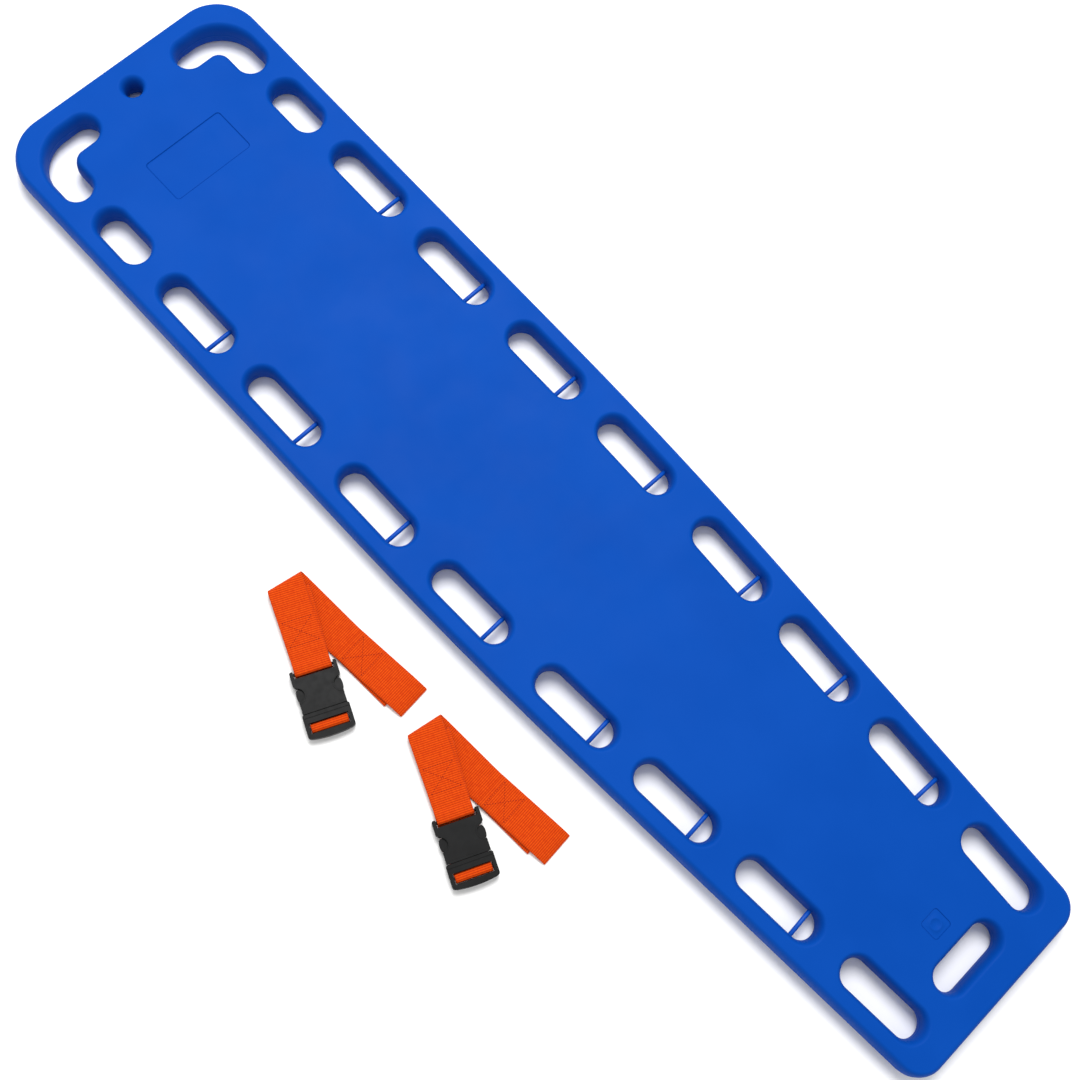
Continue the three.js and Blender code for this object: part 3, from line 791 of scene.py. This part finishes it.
def carved(base, cuts, additions, bevel, place):
    """Cuts and joins solids into one mesh, with rounded edges, where the buckle lies."""
    piece = scratch_object(base, place)
    helpers = []
    for operation, solids in (("DIFFERENCE", cuts), ("UNION", additions)):
        for solid in solids:
            helper = scratch_object(solid, place)
            helpers.append(helper)
            modifier = piece.modifiers.new(operation, "BOOLEAN")
            modifier.operation = operation
            modifier.solver = "EXACT"
            modifier.object = helper
    rounding = piece.modifiers.new("rounding", "BEVEL")
    rounding.width = bevel * MM
    rounding.segments = ROUNDING["segments"]
    rounding.limit_method = "ANGLE"
    rounding.angle_limit = ROUNDING["angle"]
    rounding.harden_normals = True
    graph = bpy.context.evaluated_depsgraph_get()
    mesh = bpy.data.meshes.new_from_object(piece.evaluated_get(graph))
    for helper in (piece, *helpers):
        bpy.data.objects.remove(helper)
    mesh.materials.clear()
    return mesh


def socket_plan():
    """The socket's outline, with a horn at each side of the gap that the webbing goes through."""
    half, inner, corner = BUCKLE["half"], HORN["inner"], SOCKET["corner"]
    side = half - HORN["step"]
    one = [
        (0, inner), (0, half - corner), (corner, half), (HORN["end"], half),
        (HORN["end"] + HORN["step"], side), (SOCKET["end"], side),
    ]
    other = [(u, -v) for u, v in one]
    return other + one[::-1] + [(SOCKET["plate"], inner), (SOCKET["plate"], -inner)]


def window_brim(side):
    """A raised line on the plate round one window, inside the plate's edge."""
    half, top = BUCKLE["half"], BUCKLE["height"]
    edge = half - HORN["step"] - BRIM["inset"]

    def half_ellipse(grow):
        reach, semi = WINDOW["reach"] + grow, WINDOW_SEMI + grow
        start = math.asin((half - edge) / reach)
        turns = np.linspace(start, 2 * QUARTER - start, ELLIPSE_STEPS // 2 + 1)
        u = WINDOW_MIDDLE + semi * np.cos(turns)
        return np.column_stack((u, half - reach * np.sin(turns)))

    near, far = half_ellipse(BRIM["gap"]), half_ellipse(BRIM["gap"] + BRIM["width"])
    plan = np.concatenate((far, near[::-1])) * (1, side)
    return prism(plan, top - BRIM["root"], top + BRIM["height"])


def buckle_socket():
    """The half that is sewn on: plate, horns, bar, and a window each side for the latch pads."""
    half, height = BUCKLE["half"], BUCKLE["height"]
    inner, low, high = SOCKET["half"], SOCKET["wall"], height - SOCKET["wall"]
    end = SOCKET["end"]
    cuts = [slab(SOCKET["cavity"], end + 2 * OVERCUT, -inner, inner, low, high)]
    for side in (1, -1):
        window = ellipse(WINDOW_MIDDLE, side * half, WINDOW_SEMI, WINDOW["reach"])
        cuts.append(prism(window, -OVERCUT, height + 2 * OVERCUT))
        near, far = sorted((side * (inner - OVERCUT), side * (half + OVERCUT)))
        cuts.append(slab(WINDOW["start"], WINDOW["end"], near, far, low, high))
    lip = half - HORN["step"]
    additions = [
        rod(BAR["u"], BAR["w"], BAR["radius"], HORN["inner"] + BAR["root"]),
        slab(LIP["start"], end, -lip, lip, height - LIP["root"], height + LIP["height"]),
        window_brim(1),
        window_brim(-1),
    ]
    return prism(socket_plan(), 0, height), cuts, additions, ROUNDING["body"]


def tongue_plan():
    """The tongue's outline: a shoulder where it meets the socket, and a bowed far end."""
    half, start, step = BUCKLE["half"], TONGUE["start"], HORN["step"]
    bow, radius = TONGUE_END["bow"], TONGUE_CORNER["radius"]
    far = BUCKLE["length"] - bow
    right = np.array([(start, -half + step), (start + step, -half)])
    last, steps = TONGUE_CORNER["end"], TONGUE_CORNER["steps"]
    turn = arc(far - radius, -half + radius, radius, -QUARTER, last, steps)
    right = np.concatenate((right, turn))
    reach = half - radius - TONGUE_END["gap"]
    v = np.linspace(-reach, reach, TONGUE_END["points"])
    end = np.column_stack((far + bow * (1 - TONGUE_END["fall"] * (v / half) ** 2), v))
    return np.concatenate((right, end, right[::-1] * (1, -1)))


def buckle_tongue():
    """The half that slides out: end bar, adjuster bar, centre guide, and seats for the arms."""
    half, top = TONGUE["half"], TONGUE["high"]
    room = ARM["knuckle"] + GAP
    low, high = ARM["low"] - GAP, ARM["high"] + GAP
    over = BUCKLE["height"] + OVERCUT
    cuts = [slab(TONGUE["window"], TONGUE["window_end"], -half, half, -OVERCUT, over)]
    mouth = TONGUE["start"] - OVERCUT
    for v in (ARM["pivot_v"], -ARM["pivot_v"]):
        cuts.append(prism(disc(ARM["pivot_u"], v, room), low, high))
        cuts.append(slab(mouth, ARM["pivot_u"], v - room, v + room, low, high))
    groove, edge = TONGUE_GROOVE, BUCKLE["half"] + OVERCUT
    foot = top - groove["depth"]
    cuts.append(slab(groove["start"], groove["end"], -edge, edge, foot, top + OVERCUT))
    bar, guide, root = ADJUSTER, GUIDE, TONGUE_ROOT
    additions = [
        slab(bar["start"], bar["end"], -half - root, half + root, bar["low"], bar["high"]),
        slab(guide["tip"], TONGUE["start"] + root, -guide["half"], guide["half"],
             guide["low"], guide["high"]),
    ]
    return prism(tongue_plan(), TONGUE["low"], top), cuts, additions, ROUNDING["body"]


def latch_arm(side):
    """A springy arm with the pad that is squeezed, side 1 or -1."""
    pivot_u, pivot_v = ARM["pivot_u"], ARM["pivot_v"]
    inner, outer = pivot_v - ARM["half"], pivot_v + ARM["half"]
    start, end, corner = PAD["start"], PAD["end"], PAD["corner"]
    turns = np.linspace(0, 2 * QUARTER, DISC_STEPS // 2 + 1)
    u = (start + end) / 2 + (end - start) / 2 * np.cos(turns)
    v = PAD["shoulder"] + (PAD["outer"] - PAD["shoulder"]) * np.sin(turns)
    plan = [
        (pivot_u, inner), (pivot_u, outer), (end, outer), *zip(u, v),
        (start, PAD["inner"] + corner), (start + corner, PAD["inner"]), (end, inner),
    ]
    base = prism([(u, side * v) for u, v in plan], ARM["low"], ARM["high"])
    knuckle = prism(disc(pivot_u, side * pivot_v, ARM["knuckle"]), ARM["low"], ARM["high"])
    return base, [], [knuckle], ROUNDING["arm"]


def add_buckle(strap, place, material):
    """Makes the buckle's four pieces. Each replaces its node and rides on its body."""
    lie = Matrix.Translation(Vector((*place, BUCKLE["floor"])) * MM)
    lie = lie @ Matrix.Rotation(LEFT_LEG_ANGLE, 4, "Z")
    lie = lie @ Matrix.Translation((LEFT_LEG * MM, 0, 0))
    pieces = (
        ("socket_body", buckle_socket(), "buckle_socket", strap),
        ("tongue_body", buckle_tongue(), "buckle_tongue", f"{strap}_tongue"),
        ("arm_left_body", latch_arm(1), "latch_arm_left", f"{strap}_arm_left"),
        ("arm_right_body", latch_arm(-1), "latch_arm_right", f"{strap}_arm_right"),
    )
    for name, solids, node, body in pieces:
        mesh = carved(*solids, lie)
        mesh.materials.append(material)
        piece = new_object(f"{strap}_{name}", mesh)
        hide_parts(f"{strap}_{node}")
        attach(piece, body)


def add_strap(strap, place, webbing_material, thread_material, buckle_material):
    """One strap: two bands of webbing, their stitches, and the buckle."""
    fixed = fixed_band(place)
    adjustable = adjustable_band(place)
    material = webbing_material
    sewn = webbing_mesh(f"{strap}_sewn_band", fixed, material, f"{strap}_fixed_webbing")
    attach(sewn, strap)
    loose = webbing_mesh(f"{strap}_loose_band", adjustable, material, f"{strap}_adjustable_webbing")
    heading = RIGHT_LEG_ANGLE - QUARTER
    aside = Vector((math.cos(heading), math.sin(heading), 0))
    start, end = ((Vector((*place, 0)) + aside * reach) * MM for reach in STRETCH)
    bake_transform(loose)
    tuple(start)
    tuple(end)
    hem = adjustable.ends()[1] - STEP_END
    patches = (
        ("buckle_leg", fixed, fixed.bend, BUCKLE_LEG_PATCH),
        ("free_leg", adjustable, hem, FREE_LEG_PATCH),
    )
    for leg, band, origin, patch in patches:
        stitching(f"{strap}_{leg}_stitches", band, origin, patch, thread_material, strap)
    add_buckle(strap, place, buckle_material)


# ==== materials ====
class Finish:
    """A procedural material: one Principled shader with noise in its colour and bump."""

    def __init__(self, name, specular):
        self.material = bpy.data.materials.new(name)
        self.material.use_nodes = True
        self.nodes = self.material.node_tree.nodes
        self.links = self.material.node_tree.links
        self.shader = self.nodes["Principled BSDF"]
        self.set("Specular IOR Level", specular)
        self.place = self.nodes.new("ShaderNodeTexCoord").outputs["Object"]
        self.normal = None

    def set(self, socket, value):
        self.shader.inputs[socket].default_value = value

    def use_attribute(self, name):
        """Takes places from a mesh attribute."""
        node = self.nodes.new("ShaderNodeAttribute")
        node.attribute_name = name
        self.place = node.outputs["Vector"]

    def noise(self, period, detail=2.0, stretch=(1, 1, 1)):
        """Noise from 0 to 1 with a period in millimetres."""
        mapping = self.nodes.new("ShaderNodeMapping")
        mapping.inputs["Scale"].default_value = stretch
        self.links.new(self.place, mapping.inputs["Vector"])
        node = self.nodes.new("ShaderNodeTexNoise")
        node.inputs["Scale"].default_value = 1 / (period * MM)
        node.inputs["Detail"].default_value = detail
        self.links.new(mapping.outputs["Vector"], node.inputs["Vector"])
        return node.outputs["Fac"]

    def ramp(self, factor, low, high, start=0.35, end=0.65):
        """Maps a factor from start and end to low and high."""
        node = self.nodes.new("ShaderNodeMapRange")
        limits = {"From Min": start, "From Max": end, "To Min": low, "To Max": high}
        for socket, value in limits.items():
            node.inputs[socket].default_value = value
        self.links.new(factor, node.inputs["Value"])
        return node.outputs["Result"]

    def blend(self, first, second, factor):
        """Mixes two colours, each a value or another mix's output."""
        node = self.nodes.new("ShaderNodeMix")
        node.data_type = "RGBA"
        sockets = [socket for socket in node.inputs if socket.type == "RGBA"]
        for socket, colour in zip(sockets, (first, second)):
            if isinstance(colour, tuple):
                socket.default_value = (*colour, 1)
            else:
                self.links.new(colour, socket)
        self.links.new(factor, node.inputs[0])
        return [socket for socket in node.outputs if socket.type == "RGBA"][0]

    def mottle(self, first, second, factor):
        """Mixes two colours over a factor's middle range."""
        return self.blend(first, second, self.ramp(factor, 0, 1))

    def colour(self, mix):
        self.links.new(mix, self.shader.inputs["Base Color"])

    def mottled(self, first, second, period, detail=2.0):
        self.colour(self.mottle(first, second, self.noise(period, detail)))

    def roughness(self, low, high, factor):
        self.links.new(self.ramp(factor, low, high), self.shader.inputs["Roughness"])

    def math(self, operation, a, b=0.0):
        node = self.nodes.new("ShaderNodeMath")
        node.operation = operation
        for socket, value in zip(node.inputs, (a, b)):
            if isinstance(value, (int, float)):
                socket.default_value = value
            else:
                self.links.new(value, socket)
        return node.outputs["Value"]

    def wave(self, distance, period):
        """A sine over a distance in metres, with a period in millimetres."""
        turns = self.math("MULTIPLY", distance, 2 * math.pi / (period * MM))
        return self.math("SINE", turns)

    def bump(self, height, distance, strength):
        """Adds a layer of bump with a height in millimetres."""
        node = self.nodes.new("ShaderNodeBump")
        node.inputs["Distance"].default_value = distance * MM
        node.inputs["Strength"].default_value = strength
        self.links.new(height, node.inputs["Height"])
        if self.normal is not None:
            self.links.new(self.normal, node.inputs["Normal"])
        self.normal = node.outputs["Normal"]
        self.links.new(self.normal, self.shader.inputs["Normal"])


def board_plastic():
    """Rotationally moulded polyethylene: satin, slightly mottled, with a fine pebbled skin."""
    finish = Finish("board_plastic", 0.03)
    finish.mottled((0.0010, 0.052, 0.318), (0.0018, 0.057, 0.338), 140, 3)
    finish.roughness(0.46, 0.56, finish.noise(60, 4))
    finish.bump(finish.noise(45), 0.06, 0.5)
    finish.bump(finish.noise(1.6), 0.04, 0.5)
    return finish.material


def pin_plastic():
    """Extruded rod in the board's colour, a little smoother than the moulding."""
    finish = Finish("pin_plastic", 0.14)
    finish.mottled((0.001, 0.060, 0.38), (0.002, 0.070, 0.42), 12, 3)
    finish.roughness(0.3, 0.4, finish.noise(6))
    finish.bump(finish.noise(2.5), 0.03, 0.6)
    return finish.material


def foam():
    """Closed-cell foam: pale, matt and pitted."""
    finish = Finish("foam", 0.2)
    finish.set("Roughness", 0.95)
    finish.mottled((0.70, 0.62, 0.42), (0.80, 0.73, 0.52), 18, 4)
    cells = finish.nodes.new("ShaderNodeTexVoronoi")
    cells.inputs["Scale"].default_value = 1 / (2.2 * MM)
    finish.links.new(finish.place, cells.inputs["Vector"])
    finish.bump(cells.outputs["Distance"], 0.5, 0.6)
    return finish.material


def woven_webbing():
    """Polypropylene webbing: yarns run along it between the cross ribs, with a soft sheen. The
    grooves between the ribs carry painted shade: a darker base colour.
    """
    finish = Finish("webbing", 0.06)
    finish.use_attribute("weave")
    streaks = finish.noise(2.2, 3, (0.25, 1, 1))
    crest = finish.mottle((0.56, 0.048, 0.0015), (0.66, 0.070, 0.0025), streaks)
    finish.roughness(0.62, 0.8, finish.noise(0.9))
    split = finish.nodes.new("ShaderNodeSeparateXYZ")
    finish.links.new(finish.place, split.inputs["Vector"])
    yarn = finish.wave(split.outputs["Y"], YARN_PITCH)
    pick = finish.wave(split.outputs["X"], 2 * RIB_PITCH)
    # painted shade: the base colour darkens to a deep red in the grooves between the cross ribs,
    # where the ribs would shade them
    groove = finish.ramp(finish.math("ABSOLUTE", pick), 1, 0, 0.1, 0.75)
    finish.colour(finish.blend(crest, (0.36, 0.020, 0.0006), groove))
    finish.bump(finish.math("MULTIPLY", yarn, finish.math("SIGN", pick)), 0.12, 0.6)
    finish.bump(finish.noise(0.5, 2, (0.4, 1, 1)), 0.06, 0.5)
    finish.set("Sheen Weight", 0.04)
    finish.set("Sheen Roughness", 0.45)
    return finish.material


def thread():
    """Bonded thread, darker than the webbing."""
    finish = Finish("thread", 0.2)
    finish.set("Roughness", 0.6)
    finish.mottled((0.17, 0.004, 0.0004), (0.26, 0.007, 0.0006), 2)
    finish.bump(finish.noise(0.4), 0.05, 0.6)
    return finish.material


def buckle_plastic():
    """Moulded acetal: near black, satin, with a fine spark-eroded texture."""
    finish = Finish("buckle_plastic", 0.16)
    finish.mottled((0.0022, 0.0023, 0.0025), (0.004, 0.0042, 0.0044), 20, 3)
    finish.roughness(0.36, 0.5, finish.noise(9, 3))
    finish.bump(finish.noise(0.5), 0.02, 0.6)
    return finish.material


def floor_paint():
    finish = Finish("floor", 0.1)
    finish.set("Roughness", 0.9)
    finish.mottled((0.92, 0.92, 0.915), (0.94, 0.94, 0.935), 400)
    return finish.material


# ==== studio ====
CAMERA = {"place": (260.8, -488.5, 1883.0), "aim": (39.6, -22.9, 22.5), "lens": 45.54}
CAMERA_TOP = math.radians(136.37)  # the heading that points up the picture
CLIP_END = 100  # metres
KEY = {
    "heading": math.radians(138), "height": math.radians(66),
    "distance": 5200, "size": 2600, "power": 262,
}
AMBIENT = 0.78
FLOOR_SIZE = 16000
FLOOR_DROP = 0.4  # keeps the floor clear of the lowest ribs of webbing


def looking(place, aim, heading):
    """The matrix of a camera or lamp that faces aim, with heading at the top of its view."""
    back = (Vector(place) - Vector(aim)).normalized()
    right = Vector((math.cos(heading), math.sin(heading), 0)).cross(back).normalized()
    matrix = Matrix((right, back.cross(right), back)).transposed().to_4x4()
    matrix.translation = Vector(place) * MM
    return matrix


def add_camera():
    data = bpy.data.cameras.new("camera")
    data.lens = CAMERA["lens"]
    data.clip_end = CLIP_END
    camera = new_object("camera", data)
    camera.matrix_world = looking(CAMERA["place"], CAMERA["aim"], CAMERA_TOP)
    bpy.context.scene.camera = camera


def add_light():
    data = bpy.data.lights.new("key", "AREA")
    data.shape = "DISK"
    data.size = KEY["size"] * MM
    data.energy = KEY["power"]
    key = new_object("key", data)
    heading, distance = KEY["heading"], KEY["distance"]
    level = math.cos(KEY["height"]) * distance
    rise = math.sin(KEY["height"]) * distance
    place = (level * math.cos(heading), level * math.sin(heading), rise)
    key.matrix_world = looking(place, (0, 0, 0), heading + QUARTER)
    world = bpy.data.worlds.new("studio")
    world.use_nodes = True
    background = world.node_tree.nodes["Background"]
    background.inputs["Color"].default_value = (1, 1, 1, 1)
    background.inputs["Strength"].default_value = AMBIENT
    bpy.context.scene.world = world


def add_floor():
    half = FLOOR_SIZE / 2 * MM
    mesh = bpy.data.meshes.new("floor")
    corners = [(-half, -half), (half, -half), (half, half), (-half, half)]
    mesh.from_pydata([(x, y, -FLOOR_DROP * MM) for x, y in corners], [], [(0, 1, 2, 3)])
    mesh.materials.append(floor_paint())
    new_object("floor", mesh)


def main():
    add_camera()
    add_light()
    add_floor()
    add_board(board_plastic(), pin_plastic(), foam())
    materials = (woven_webbing(), thread(), buckle_plastic())
    for strap, place in STRAPS.items():
        add_strap(strap, place, *materials)
    bpy.context.scene.view_settings.view_transform = "Standard"


main()
